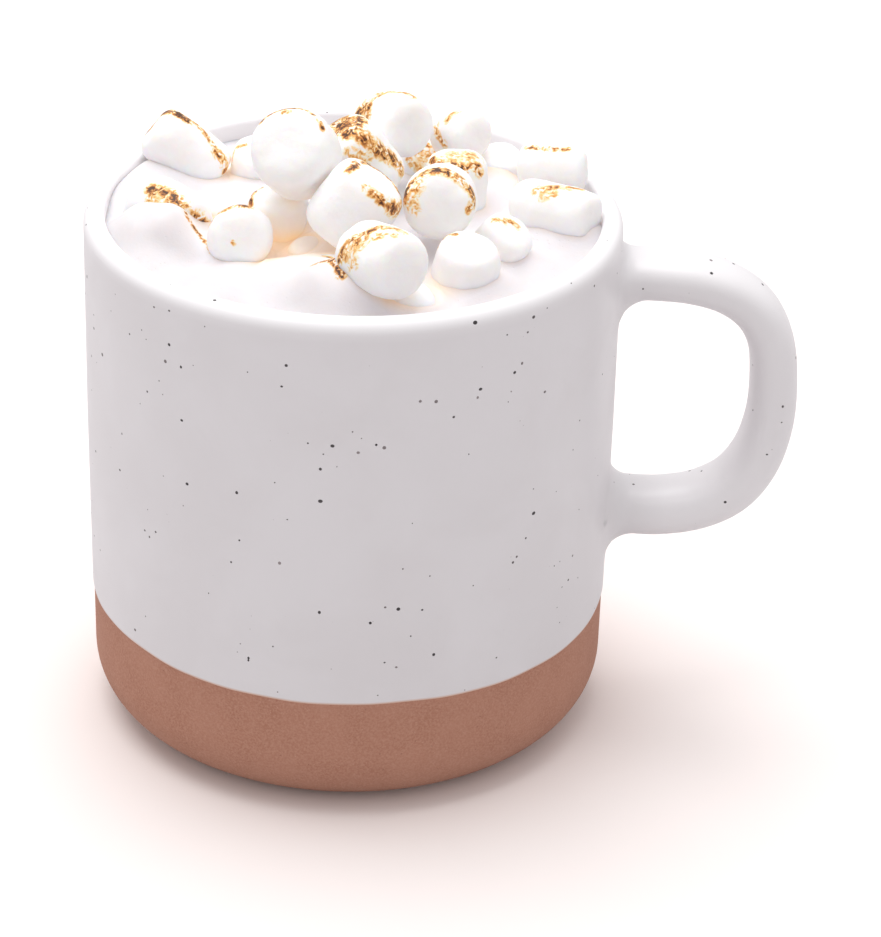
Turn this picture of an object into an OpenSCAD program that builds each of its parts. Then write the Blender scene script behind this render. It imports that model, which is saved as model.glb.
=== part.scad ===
// Mug of hot chocolate with toasted marshmallows.
// The mug stands on its flat base. The origin is the middle of the base on the axis of the cup,
// +Z is up and the handle points along +X.

/* [Mug] */
// Outer diameter of the mug at the lip
mug_d = 90; // [90:1:94]
// Height of the mug from the base to the lip
mug_h = 92; // [90:1:96]
// Outer diameter just above the round at the foot
foot_d = 89.2; // [87:0.2:89.2]
// Radius of the round at the foot
foot_r = 11; // [8:1:14]
// Thickness of the wall at the lip
wall_t = 3.6; // [3.4:0.2:4.2]
// Thickness of the floor of the cup
floor_t = 6; // [4:1:8]
// Radius of the round inside the cup between wall and floor
inner_r = 12; // [8:1:16]
// Radius of the outer round of the lip
lip_r = 2.4; // [1.6:0.2:2.4]

/* [Handle] */
// Thickness of the handle, measured in the plane of the loop
handle_t = 8; // [7:0.5:9]
// Width of the handle across the loop
handle_w = 12.5; // [12:0.5:16]
// Distance of the grip's centreline from the axis of the cup
handle_reach = 72; // [68:1:76]
// Height of the centreline of the upper arm
arm_top_z = 80.5; // [78:0.5:82]
// Height of the centreline of the lower arm
arm_low_z = 36.5; // [34:0.5:40]
// Centreline radius of the upper bend
bend_top_r = 14; // [11:1:16]
// Centreline radius of the lower bend
bend_low_r = 12.5; // [10:0.5:14]
// Radius of the hollow round where the arms meet the cup
web_r = 6; // [3:0.5:6.5]

/* [Hot chocolate] */
// Height of the froth where it meets the wall
froth_z = 88.6; // [87:0.2:89]
// Height that the froth rises towards the middle
froth_rise = 2.4; // [1.6:0.2:2.8]
// Radius over which the froth rises
rise_r = 36; // [30:1:40]
// Clearance between the drink and what it touches
drink_gap = 0.1; // [0.05:0.05:0.2]
// Height of the soft swells that stand on the froth
swell_h = 2; // [1:0.2:2.4]

/* [Marshmallows] */
// Edge round of a marshmallow as a share of its diameter
edge_share = 0.22; // [0.12:0.01:0.24]

/* [Hidden] */
$fn = 96;
eps = 0.01;
mug_r = mug_d / 2;
foot_wide_r = foot_d / 2;
cup_r = mug_r - wall_t;
lip_flat = 0.2;
inner_lip_r = wall_t - lip_r - lip_flat;
glaze_white = [0.86, 0.85, 0.87];
froth_pink = [0.97, 0.93, 0.91];
pale = [0.98, 0.96, 0.94];
toasted = [0.93, 0.82, 0.66];

// Where each marshmallow lies: its middle, the turn of its axis about Z, the tilt of its
// axis above level, its diameter, its length and how toasted it is as a whole.
sweets = [
    // leaning outward at the back left, with a dark cap
    [[-29, 19.5, 93], 175, 38, 10, 14, toasted],
    // small, behind the high one
    [[-16.5, 20, 90], -80, 70, 9, 9, pale],
    // the high one, facing forward
    [[-9.5, -7.5, 104.5], -110, 39, 13.5, 12, pale],
    // the darkest, in the middle
    [[0.5, 3.5, 98.5], -173, 51, 12, 13, toasted],
    // at the top of the heap, at the back
    [[6.5, 15, 101], -60, 10, 10.5, 11.5, toasted],
    // small, at the back right
    [[18, 19, 97.5], -50, 15, 8.5, 9, pale],
    // in the gap under the two at the back
    [[12, 21.5, 89.5], -60, 60, 9, 9, toasted],
    // upright, with a toasted top
    [[17, 5.5, 93], 80, 85, 10, 12.5, toasted],
    // in front of the upright one
    [[14, -11, 98], -95, 15, 11.5, 11, toasted],
    // large, in the middle of the front
    [[0, -15, 98.5], 5, 55, 12.5, 12.5, pale],
    // the frontmost, on top of two sunken ones
    [[4.5, -31, 96.5], -55, 10, 11, 13.5, toasted],
    // at the front left
    [[-18.5, -14.5, 92.5], -80, 30, 10, 9.5, pale],
    // at the far left, streaked and half under the froth
    [[-31, -2, 90.5], -50, -5, 11, 13, toasted],
    // sunken, with a flat top
    [[-22, 3.5, 87.5], -90, 85, 9.5, 10, pale],
    // upright, under the high one
    [[-12.5, -4.5, 89.5], -90, 88, 10, 13.5, pale],
    // three sunken ones at the front
    [[-7, -12, 86], -60, 70, 8.5, 9, pale],
    [[-7, -22, 87.5], 5, 5, 9.5, 15, pale],
    [[9, -30, 86], 0, 60, 9, 10, pale],
    // two sunken ones at the front right
    [[18, -22, 90], -60, 75, 10.5, 12, pale],
    [[23.5, -11, 90], -30, 50, 8.5, 10, pale],
    // white, at the back right
    [[25, 20, 89], -90, 75, 8.5, 10.5, pale],
    // lying along the edge at the back right
    [[33.5, 11, 95], -10, 0, 8, 11.5, pale],
    // lying at the right, its end near the wall
    [[33.5, -0.5, 92], -32, 3, 9, 14.5, toasted]
];

// Soft swells of the froth: middle on plan and radius of the ball they are cut from.
swells = [
    [[-21, -25], 20],
    [[-33, -13], 16],
    [[-2, 31], 24]
];

// Height of the froth at a distance from the axis.
function froth_at(r) = froth_z + froth_rise * (0.5 + 0.5 * cos(180 * min(r / rise_r, 1)));

// Lays its child along the turn and the tilt of row n, at that row's place.
module lay(n) {
    translate(sweets[n][0])
        rotate([0, 90 - sweets[n][2], sweets[n][1]])
            children();
}

// Half of the section of a cylinder whose edges are round.
module round_edged_half(d, l, r) {
    translate([0, -l / 2])
        square([d / 2 - r, l]);
    translate([0, r - l / 2])
        square([d / 2, l - 2 * r]);
    for (side = [-1, 1])
        translate([d / 2 - r, side * (l / 2 - r)])
            circle(r = r);
}

// One marshmallow on the Z axis, grown by gap all round.
module sweet(d, l, gap = 0) {
    rotate_extrude($fn = 64)
        round_edged_half(d + 2 * gap, l + 2 * gap, edge_share * d + gap, $fn = 32);
}

// Marshmallow of row n at its place.
module sweet_of(n, gap = 0) {
    lay(n)
        sweet(sweets[n][3], sweets[n][4], gap);
}

// Section of the handle: flat sides with full rounds at both ends.
module handle_section(t, w) {
    square([t, w - t], center = true);
    for (side = [-1, 1])
        translate([0, side * (w - t) / 2])
            circle(d = t, $fn = 48);
}

// Outer form of the cup.
module cup_outside() {
    rotate_extrude($fn = 160) {
        polygon([
            [0, 0],
            [foot_wide_r - foot_r, 0],
            [foot_wide_r - foot_r, foot_r],
            [foot_wide_r, foot_r],
            [mug_r, mug_h * 0.6],
            [mug_r, mug_h - lip_r],
            [mug_r - lip_r, mug_h - lip_r],
            [mug_r - lip_r, mug_h],
            [0, mug_h]
        ]);
        translate([foot_wide_r - foot_r, foot_r])
            circle(r = foot_r);
        translate([mug_r - lip_r, mug_h - lip_r])
            circle(r = lip_r, $fn = 48);
    }
}

// Room inside the cup, open at the top.
module cup_inside() {
    rotate_extrude($fn = 160)
        difference() {
            union() {
                translate([0, floor_t + inner_r])
                    square([cup_r, mug_h - floor_t - inner_r + 1]);
                translate([0, floor_t])
                    square([cup_r - inner_r, inner_r + eps]);
                intersection() {
                    translate([cup_r - inner_r, floor_t + inner_r])
                        circle(r = inner_r);
                    translate([0, floor_t])
                        square([cup_r, inner_r + eps]);
                }
                translate([cup_r, mug_h - inner_lip_r])
                    square([inner_lip_r, inner_lip_r + 1]);
            }
            translate([cup_r + inner_lip_r, mug_h - inner_lip_r])
                circle(r = inner_lip_r, $fn = 48);
        }
}

// Trumpet where an arm meets the cup: it widens towards the wall by the radius of the web.
module root_flare(z) {
    half = handle_t / 2;
    flat = handle_w - handle_t;
    translate([mug_r - 2, 0, z])
        rotate([0, 90, 0]) {
            for (side = [-1, 1])
                translate([0, side * flat / 2, 0])
                    rotate_extrude($fn = 64)
                        flare_half(half);
            translate([0, flat / 2, 0])
                rotate([90, 0, 0])
                    linear_extrude(flat)
                        for (side = [0, 1])
                            mirror([side, 0])
                                flare_half(half);
        }
}

// Half of the section of the trumpet, on the arm's axis.
module flare_half(half) {
    difference() {
        square([half + web_r, web_r]);
        translate([half + web_r, web_r])
            circle(r = web_r, $fn = 64);
    }
}

// Loop of the handle in the XZ plane.
module handle() {
    root = mug_r - 2;
    top_x = handle_reach - bend_top_r;
    low_x = handle_reach - bend_low_r;
    top_z = arm_top_z - bend_top_r;
    low_z = arm_low_z + bend_low_r;
    translate([root, 0, arm_top_z])
        rotate([0, 90, 0])
            linear_extrude(top_x - root)
                handle_section(handle_t, handle_w);
    translate([top_x, 0, top_z])
        rotate([90, 0, 0])
            rotate_extrude(angle = 90)
                translate([bend_top_r, 0])
                    handle_section(handle_t, handle_w);
    translate([handle_reach, 0, low_z])
        linear_extrude(top_z - low_z)
            handle_section(handle_t, handle_w);
    translate([low_x, 0, low_z])
        rotate([90, 0, 0])
            rotate([0, 0, -90])
                rotate_extrude(angle = 90)
                    translate([bend_low_r, 0])
                        handle_section(handle_t, handle_w);
    translate([root, 0, arm_low_z])
        rotate([0, 90, 0])
            linear_extrude(low_x - root)
                handle_section(handle_t, handle_w);
    root_flare(arm_top_z);
    root_flare(arm_low_z);
}

// Glazed stoneware mug: the cup and its handle are one piece.
module mug() {
    color(glaze_white)
        union() {
            difference() {
                cup_outside();
                cup_inside();
            }
            handle();
        }
}

// Body of the drink before the marshmallows sink into it.
module drink_body() {
    r = cup_r - drink_gap;
    base = floor_t + drink_gap;
    corner = inner_r - drink_gap;
    intersection() {
        union() {
            rotate_extrude($fn = 160) {
                polygon(concat(
                    [[0, base + corner], [r, base + corner]],
                    [for (x = [r, 36, 32, 28, 24, 20, 16, 12, 8, 4, 0]) [x, froth_at(x)]]
                ));
                translate([0, base])
                    square([r - corner, corner + eps]);
                intersection() {
                    translate([r - corner, base + corner])
                        circle(r = corner);
                    translate([0, base])
                        square([r, corner + eps]);
                }
            }
            for (s = swells)
                translate([s[0][0], s[0][1], froth_at(norm(s[0])) + swell_h - s[1]])
                    sphere(r = s[1], $fn = 96);
        }
        cylinder(r = r, h = mug_h, $fn = 160);
    }
}

// Hot chocolate up to the froth, cut round the marshmallows that sit in it.
module hot_chocolate() {
    color(froth_pink)
        difference() {
            drink_body();
            for (n = rows)
                if (sweets[n][0][2] < froth_z + 10)
                    sweet_of(n, drink_gap);
        }
}

// Marshmallow of row n.
module marshmallow(n) {
    color(sweets[n][5])
        sweet_of(n);
}

// Name of the node of row n: marshmallow_01 and so on.
function marshmallow_name(n) = str("marshmallow_", n < 9 ? "0" : "", n + 1);

rows = [0 : len(sweets) - 1];
mug();
hot_chocolate();
for (n = rows)
    marshmallow(n);
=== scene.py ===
# %% [markdown]
# # A mug of hot chocolate with toasted marshmallows
# The real thing is a stoneware mug, glazed white with dark iron specks down to a band of bare
# clay. It is full of hot chocolate under thick froth, with a heap of small toasted marshmallows.
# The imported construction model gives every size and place. This script only builds the looks
# around it, so each piece starts from the box or the mesh of the node that it stands for.

# %% Load the frame
import math
import bpy
import bmesh
import numpy as np
from mathutils import Matrix, Vector


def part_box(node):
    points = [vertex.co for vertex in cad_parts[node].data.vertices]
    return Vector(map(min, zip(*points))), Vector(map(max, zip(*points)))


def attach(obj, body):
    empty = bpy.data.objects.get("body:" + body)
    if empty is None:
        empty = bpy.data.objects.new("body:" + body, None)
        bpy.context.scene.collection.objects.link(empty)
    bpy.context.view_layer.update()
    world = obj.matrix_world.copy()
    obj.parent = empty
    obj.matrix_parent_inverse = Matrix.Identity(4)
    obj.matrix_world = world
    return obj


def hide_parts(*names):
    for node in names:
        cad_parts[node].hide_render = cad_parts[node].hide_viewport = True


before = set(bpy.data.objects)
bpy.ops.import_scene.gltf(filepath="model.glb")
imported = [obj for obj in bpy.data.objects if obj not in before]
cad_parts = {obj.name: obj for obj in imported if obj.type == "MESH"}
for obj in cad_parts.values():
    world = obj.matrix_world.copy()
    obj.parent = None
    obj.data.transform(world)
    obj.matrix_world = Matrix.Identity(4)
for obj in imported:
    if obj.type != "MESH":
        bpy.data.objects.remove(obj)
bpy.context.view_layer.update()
MM = 0.001
print("nodes in the frame:", len(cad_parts))

# %% [markdown]
# The camera looks down on the mug from the front, a little turned and a little rolled, with a
# long lens, so the cup hardly narrows towards its foot. A camera needs its own right, up and
# backward directions. They follow from three angles, and they become the columns of a matrix.

# %% Camera
CAMERA_PLACE = Vector((0.0, -0.55027, 0.33504))
YAW, PITCH, ROLL = (math.radians(a) for a in (1.6271, 27.9582, 1.6330))
FOCAL_SHARE = 3.84205  # focal length over the height of the image
SENSOR = 36.0

ahead = Vector((math.sin(YAW) * math.cos(PITCH), math.cos(YAW) * math.cos(PITCH),
                -math.sin(PITCH)))
level_right = Vector((math.cos(YAW), -math.sin(YAW), 0.0))
level_up = level_right.cross(ahead)
right = level_right * math.cos(ROLL) + level_up * math.sin(ROLL)
up = level_up * math.cos(ROLL) - level_right * math.sin(ROLL)

camera = bpy.data.objects.new("camera", bpy.data.cameras.new("camera"))
bpy.context.scene.collection.objects.link(camera)
turn = Matrix((right, up, -ahead)).transposed()
camera.matrix_world = Matrix.Translation(CAMERA_PLACE) @ turn.to_4x4()
camera.data.sensor_fit = "VERTICAL"
camera.data.sensor_height = SENSOR
camera.data.sensor_width = SENSOR
camera.data.lens = FOCAL_SHARE * SENSOR
camera.data.clip_start = 0.01
bpy.context.scene.camera = camera
print("lens in millimetres:", round(camera.data.lens, 1))

# %% [markdown]
# Materials are trees of nodes. Small helpers keep the trees short to read: one places a node
# and fills its inputs, and the others do sums, mix colours or turn a value into a colour. An
# input is either a plain value or the output of another node.

# %% Helpers for node trees
def fill(tree, made, values):
    for key, value in values.items():
        socket = made.inputs[key]
        if isinstance(value, bpy.types.NodeSocket):
            tree.links.new(value, socket)
        else:
            socket.default_value = value


def put(tree, kind, values=None, **settings):
    made = tree.nodes.new(kind)
    for key, value in settings.items():
        setattr(made, key, value)
    fill(tree, made, values or {})
    return made


def calc(tree, operation, a, b=0.0, c=0.0):
    return put(tree, "ShaderNodeMath", {0: a, 1: b, 2: c}, operation=operation).outputs[0]


def vector_calc(tree, operation, a, b=None, scale=None):
    made = put(tree, "ShaderNodeVectorMath", {0: a}, operation=operation)
    if b is not None:
        fill(tree, made, {1: b})
    if scale is not None:
        fill(tree, made, {"Scale": scale})
    return made.outputs["Value"] if operation == "LENGTH" else made.outputs[0]


def mix_colours(tree, share, a, b, way="MIX"):
    made = put(tree, "ShaderNodeMix", data_type="RGBA", blend_type=way)
    fill(tree, made, {0: share, 6: a, 7: b})
    return made.outputs[2]


def ramp(tree, share, stops):
    made = put(tree, "ShaderNodeValToRGB", {"Fac": share})
    points = made.color_ramp.elements
    while len(points) < len(stops):
        points.new(0.5)
    for point, (place, shade) in zip(points, stops):
        point.position = place
        point.color = colour(*shade)
    return made.outputs["Color"]


def rise(tree, value, low, high):
    made = put(tree, "ShaderNodeMapRange", {"Value": value, "From Min": low, "From Max": high},
               interpolation_type="SMOOTHSTEP")
    return made.outputs["Result"]


def colour(r, g, b):
    return (r, g, b, 1.0)


# %% [markdown]
# Four effects are shared by several finishes, so each is a node group that is built once: an
# uneven tone, a fine grain for the feel of a surface, scattered grains for freckles, sand and
# pores, and the marks of a torch. A group gives out only colours and masks. The shader itself
# stays in each material, where an exporter can read it. A last helper places each group.

# %% Shared effects
def new_tree(name, tree_kind, inputs, outputs):
    """A tree with named inputs and outputs, and the two nodes that stand for them."""
    tree = bpy.data.node_groups.new(name, tree_kind)
    for label, kind, value in inputs:
        socket = tree.interface.new_socket(label, in_out="INPUT", socket_type="NodeSocket" + kind)
        if value is not None:
            socket.default_value = value
    for label, kind in outputs:
        tree.interface.new_socket(label, in_out="OUTPUT", socket_type="NodeSocket" + kind)
    return tree, tree.nodes.new("NodeGroupInput"), tree.nodes.new("NodeGroupOutput")


def noise_of(tree, vector, detail=2.0, roughness=0.5, distortion=0.0):
    made = put(tree, "ShaderNodeTexNoise",
               {"Vector": vector, "Scale": 1.0, "Detail": detail, "Roughness": roughness,
                "Distortion": distortion})
    return made.outputs["Fac"]


def in_sizes(tree, vector, size_mm):
    """The vector counted in steps of a size that is given in millimetres."""
    return vector_calc(tree, "SCALE", vector, scale=calc(tree, "DIVIDE", 1000.0, size_mm))


def make_uneven_tone():
    group, start, end = new_tree(
        "uneven_tone", "ShaderNodeTree",
        [("Vector", "Vector", None), ("Patch size mm", "Float", 15.0),
         ("Light tone", "Color", colour(1, 1, 1)), ("Deep tone", "Color", colour(0.8, 0.8, 0.8))],
        [("Color", "Color"), ("Mask", "Float")])
    place = in_sizes(group, start.outputs["Vector"], start.outputs["Patch size mm"])
    mask = rise(group, noise_of(group, place, 4.0, 0.55, 0.4), 0.32, 0.68)
    mixed = mix_colours(group, mask, start.outputs["Light tone"], start.outputs["Deep tone"])
    fill(group, end, {"Color": mixed, "Mask": mask})
    return group


def make_fine_grain():
    group, start, end = new_tree(
        "fine_grain", "ShaderNodeTree",
        [("Vector", "Vector", None), ("Grain size mm", "Float", 0.4),
         ("Wave size mm", "Float", 4.0), ("Wave share", "Float", 0.5)],
        [("Height", "Float")])
    small = noise_of(group, in_sizes(group, start.outputs["Vector"],
                                     start.outputs["Grain size mm"]), 3.0, 0.6)
    wide = noise_of(group, in_sizes(group, start.outputs["Vector"],
                                    start.outputs["Wave size mm"]), 1.0, 0.4)
    share = start.outputs["Wave share"]
    kept = calc(group, "MULTIPLY", small, calc(group, "SUBTRACT", 1.0, share))
    fill(group, end, {"Height": calc(group, "MULTIPLY_ADD", wide, share, kept)})
    return group


def make_scattered_grains():
    group, start, end = new_tree(
        "scattered_grains", "ShaderNodeTree",
        [("Vector", "Vector", None), ("Spacing mm", "Float", 3.0), ("Reach", "Float", 0.1),
         ("Cluster size mm", "Float", 20.0), ("Cluster share", "Float", 0.5)],
        [("Mask", "Float")])
    place = in_sizes(group, start.outputs["Vector"], start.outputs["Spacing mm"])
    dots = put(group, "ShaderNodeTexVoronoi", {"Vector": place, "Scale": 1.0})
    crowd = noise_of(group, in_sizes(group, start.outputs["Vector"],
                                     start.outputs["Cluster size mm"]), 2.0)
    left = rise(group, crowd, 0.35, 0.65)
    share = start.outputs["Cluster share"]
    keep = calc(group, "ADD", calc(group, "SUBTRACT", 1.0, share),
                calc(group, "MULTIPLY", left, share))
    reach = calc(group, "MULTIPLY", start.outputs["Reach"], keep)
    inner = calc(group, "MULTIPLY", reach, 0.6)
    made = put(group, "ShaderNodeMapRange",
               {"Value": dots.outputs["Distance"], "From Min": inner, "From Max": reach,
                "To Min": 1.0, "To Max": 0.0}, interpolation_type="SMOOTHSTEP")
    fill(group, end, {"Mask": made.outputs["Result"]})
    return group


FLECK_MM, FLECK_CONTRAST = 0.95, 2.6
CLOUD_MM, CLOUD_CONTRAST = 2.6, 1.2
TORCH_BASE = 0.62  # how far heat browns the sugar where both noises are at their middle


def make_torch_marks():
    """Heat becomes white, gold, brown or black sugar, broken up by two noises."""
    group, start, end = new_tree(
        "torch_marks", "ShaderNodeTree",
        [("Vector", "Vector", None), ("Heat", "Float", 0.0)],
        [("Color", "Color"), ("Crust", "Float")])
    flecks = noise_of(group, in_sizes(group, start.outputs["Vector"], FLECK_MM), 2.0, 0.5, 1.0)
    clouds = noise_of(group, in_sizes(group, start.outputs["Vector"], CLOUD_MM), 2.0, 0.5)
    broken = calc(group, "ADD",
                  calc(group, "MULTIPLY_ADD", flecks, FLECK_CONTRAST, -FLECK_CONTRAST / 2),
                  calc(group, "MULTIPLY_ADD", clouds, CLOUD_CONTRAST, -CLOUD_CONTRAST / 2))
    burnt = calc(group, "MULTIPLY", start.outputs["Heat"], calc(group, "ADD", broken, TORCH_BASE))
    shade = ramp(group, burnt, [(0.16, (1.0, 1.0, 1.0)), (0.30, (1.0, 0.88, 0.64)),
                                (0.46, (0.96, 0.62, 0.25)), (0.66, (0.70, 0.30, 0.065)),
                                (0.88, (0.31, 0.105, 0.026)), (1.0, (0.09, 0.036, 0.016))])
    fill(group, end, {"Color": shade, "Crust": rise(group, burnt, 0.35, 0.8)})
    return group


UNEVEN_TONE = make_uneven_tone()
FINE_GRAIN = make_fine_grain()
SCATTERED_GRAINS = make_scattered_grains()
TORCH_MARKS = make_torch_marks()
EFFECTS = (UNEVEN_TONE, FINE_GRAIN, SCATTERED_GRAINS, TORCH_MARKS)
print("shared effects:", [group.name for group in EFFECTS])


# %% Helpers for a material
def use(tree, group, values):
    made = put(tree, "ShaderNodeGroup", node_tree=group)
    fill(tree, made, values)
    return made


def new_material(name):
    material = bpy.data.materials.new(name)
    material.use_nodes = True
    tree = material.node_tree
    shader = tree.nodes["Principled BSDF"]
    place = put(tree, "ShaderNodeTexCoord").outputs["Object"]
    return material, tree, shader, place


def bump(tree, height, depth_mm, strength=1.0):
    made = put(tree, "ShaderNodeBump",
               {"Height": height, "Distance": depth_mm * MM, "Strength": strength})
    return made.outputs["Normal"]


def attribute(tree, name):
    return put(tree, "ShaderNodeAttribute", attribute_name=name)


def tone_of(tree, place, patch_mm, light, deep):
    return use(tree, UNEVEN_TONE, {"Vector": place, "Patch size mm": patch_mm,
                                   "Light tone": colour(*light), "Deep tone": colour(*deep)})


def grain_of(tree, place, grain_mm, wave_mm, wave_share):
    made = use(tree, FINE_GRAIN, {"Vector": place, "Grain size mm": grain_mm,
                                  "Wave size mm": wave_mm, "Wave share": wave_share})
    return made.outputs["Height"]


def grains_in(tree, place, spacing_mm, reach, cluster_mm, cluster_share):
    made = use(tree, SCATTERED_GRAINS, {"Vector": place, "Spacing mm": spacing_mm,
                                        "Reach": reach, "Cluster size mm": cluster_mm,
                                        "Cluster share": cluster_share})
    return made.outputs["Mask"]


# %% [markdown]
# The glaze is a satin white that leans a little to pink. It runs thin at its lower edge, where
# the clay shows through as a light orange line, so the glaze reads how thick it is from an
# attribute of the mug. Over the lip, inside, and on the handle, most on its lower arm, it is
# painted whiter: a painted highlight on the lip and painted light on the inner wall and the
# handle, and a second attribute says where. Faint freckles lie inside it, and its skin has an
# orange peel.

# %% Glaze
def make_glaze():
    material, tree, shader, place = new_material("satin_glaze")
    tone = tone_of(tree, place, 22.0, (0.748, 0.726, 0.742), (0.722, 0.697, 0.710))
    # Painted light: the glaze turns whiter where the attribute says, a painted highlight on the
    # lip.
    painted_light_mask = attribute(tree, "glaze_painted_light").outputs["Fac"]
    painted_lighter = mix_colours(tree, painted_light_mask, tone.outputs["Color"], colour(0.875, 0.855, 0.868))
    faint = calc(tree, "MULTIPLY", grains_in(tree, place, 2.6, 0.055, 14.0, 0.9), 0.45)
    freckled = mix_colours(tree, faint, painted_lighter, colour(0.20, 0.17, 0.16))
    thick = attribute(tree, "glaze_depth").outputs["Fac"]
    thin = rise(tree, thick, 0.95, 0.1)
    coloured = mix_colours(tree, thin, freckled, colour(0.660, 0.420, 0.310))
    peel = grain_of(tree, place, 1.4, 9.0, 0.8)
    dullness = calc(tree, "MULTIPLY_ADD", tone.outputs["Mask"], 0.07, 0.30)
    fill(tree, shader, {"Base Color": coloured, "Roughness": dullness, "IOR": 1.5,
                        "Normal": bump(tree, peel, 0.12, 0.5)})
    return material


GLAZE = make_glaze()


# %% [markdown]
# The foot is left bare: fired clay, pinkish brown and quite matte, with fine sand in it.
# The sand is a noise of about a third of a millimetre, with single darker and lighter grains.

# %% Bare clay
def make_clay():
    material, tree, shader, place = new_material("bare_clay")
    tone = tone_of(tree, place, 9.0, (0.450, 0.212, 0.142), (0.405, 0.182, 0.118))
    sand = noise_of(tree, in_sizes(tree, place, 0.38), 3.0, 0.7)
    sandy = mix_colours(tree, rise(tree, sand, 0.35, 0.7), tone.outputs["Color"],
                        colour(0.500, 0.262, 0.185))
    elsewhere = vector_calc(tree, "ADD", place, (0.3, 0.1, 0.2))
    dark = calc(tree, "MULTIPLY", grains_in(tree, place, 1.5, 0.13, 8.0, 0.6), 0.45)
    pale = calc(tree, "MULTIPLY", grains_in(tree, elsewhere, 1.1, 0.13, 6.0, 0.5), 0.4)
    darker = mix_colours(tree, dark, sandy, colour(0.235, 0.095, 0.058))
    coloured = mix_colours(tree, pale, darker, colour(0.62, 0.40, 0.31))
    fill(tree, shader, {"Base Color": coloured, "Roughness": 0.86, "IOR": 1.45,
                        "Normal": bump(tree, grain_of(tree, place, 0.3, 2.5, 0.25), 0.10, 0.7)})
    return material


CLAY = make_clay()


# %% [markdown]
# Froth is milk and air: light enters it and comes out again nearby, so it gets some
# subsurface light. It is pinkish white and carries pores the size of a pinhead. In the clefts
# between the marshmallows it is painted creamy tan as painted shade, and an attribute says
# where the clefts are. A faint emission there is painted light: it stands for light that comes
# through foam and sugar from all round, and would take many bounces to trace. Marshmallows share
# that helper, and the marks of the torch.

# %% Froth
DEEPEST = 2.2  # the cleft value at which the painted shade and the painted glow of a cleft are full


def cleft_shade_and_glow(tree, tone, start, cleft_shade_colour, painted_glow_stops):
    """Painted shade and light: the tan that a tone turns to in the clefts, and a faint painted
    glow there.
    """
    cleft_shade = attribute(tree, "cleft_shade").outputs["Fac"]
    cleft_shaded = mix_colours(tree, rise(tree, cleft_shade, start, DEEPEST), tone, colour(*cleft_shade_colour))
    return cleft_shaded, ramp(tree, rise(tree, cleft_shade, 0.0, DEEPEST), painted_glow_stops)


def torched(tree, vector, surface, painted_glow):
    """Puts the marks of the torch on both colours, and says how thick the crust is."""
    heat = attribute(tree, "toast").outputs["Fac"]
    marks = use(tree, TORCH_MARKS, {"Vector": vector, "Heat": heat}).outputs
    browned = mix_colours(tree, 1.0, surface, marks["Color"], "MULTIPLY")
    return browned, mix_colours(tree, 1.0, painted_glow, marks["Color"], "MULTIPLY"), marks["Crust"]


def make_froth():
    material, tree, shader, place = new_material("milk_froth")
    tone = tone_of(tree, place, 11.0, (0.728, 0.700, 0.712), (0.690, 0.655, 0.667))
    # Painted shade: the froth turns creamy tan in the clefts; painted light: a faint glow there.
    froth_cleft_shaded, painted_glow = cleft_shade_and_glow(tree, tone.outputs["Color"], 0.65, (0.96, 0.72, 0.46), [
        (0.0, (0.0, 0.0, 0.0)), (0.22, (0.13, 0.118, 0.122)), (0.45, (0.16, 0.13, 0.115)),
        (1.0, (0.205, 0.135, 0.08))])
    browned, painted_glow, _ = torched(tree, place, froth_cleft_shaded, painted_glow)
    pores = calc(tree, "MULTIPLY", grains_in(tree, place, 1.3, 0.22, 9.0, 0.9), 0.5)
    height = calc(tree, "SUBTRACT", grain_of(tree, place, 0.5, 3.0, 0.6), pores)
    fill(tree, shader, {
        "Base Color": browned, "Emission Color": painted_glow, "Emission Strength": 1.0,
        "Roughness": 0.42, "IOR": 1.36, "Normal": bump(tree, height, 0.16, 0.5),
        "Subsurface Weight": 0.6, "Subsurface Radius": (1.0, 0.72, 0.55),
        "Subsurface Scale": 3.0 * MM})
    return material


FROTH = make_froth()


# %% [markdown]
# A marshmallow is nearly white and dusty. Where the flame touched it, the sugar went gold,
# then brown, then black, in small flecks on a golden ground. The attribute named toast says
# how much heat each point had. The crust stands up a little and shines more than the rest.

# %% Marshmallow
def make_marshmallow_skin():
    material, tree, shader, _ = new_material("toasted_marshmallow")
    own = attribute(tree, "own").outputs["Vector"]
    tone = tone_of(tree, own, 5.0, (0.895, 0.892, 0.898), (0.875, 0.862, 0.855))
    # Painted shade: the skin turns warm tan in the clefts; painted light: a faint glow there.
    cleft_shade_colour, painted_glow = cleft_shade_and_glow(tree, tone.outputs["Color"], 0.50, (0.98, 0.76, 0.50), [
        (0.0, (0.0, 0.0, 0.0)), (0.25, (0.055, 0.052, 0.054)), (0.50, (0.10, 0.078, 0.062)),
        (1.0, (0.24, 0.135, 0.065))])
    browned, painted_glow, crust = torched(tree, own, cleft_shade_colour, painted_glow)
    height = calc(tree, "MULTIPLY_ADD", crust, 0.6, grain_of(tree, own, 0.28, 1.6, 0.55))
    fill(tree, shader, {
        "Base Color": browned, "Emission Color": painted_glow, "Emission Strength": 1.0,
        "Roughness": calc(tree, "MULTIPLY_ADD", crust, -0.22, 0.66), "IOR": 1.4,
        "Normal": bump(tree, height, 0.14, 0.6), "Subsurface Weight": 0.7,
        "Subsurface Radius": (1.0, 0.70, 0.45), "Subsurface Scale": 3.2 * MM})
    return material


MARSHMALLOW_SKIN = make_marshmallow_skin()


# %% [markdown]
# The specks are iron spots that came up through the glaze. They are thin dark domes, set on
# the finished mug further down. Each one has its own depth of colour, from an attribute.

# %% Iron specks
def make_speck():
    material, tree, shader, place = new_material("iron_speck")
    depth = attribute(tree, "depth").outputs["Fac"]
    tone = tone_of(tree, place, 0.3, (0.045, 0.038, 0.040), (0.020, 0.017, 0.018))
    coloured = mix_colours(tree, depth, tone.outputs["Color"], colour(0.30, 0.26, 0.26))
    fill(tree, shader, {"Base Color": coloured, "Roughness": 0.4})
    return material


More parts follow.
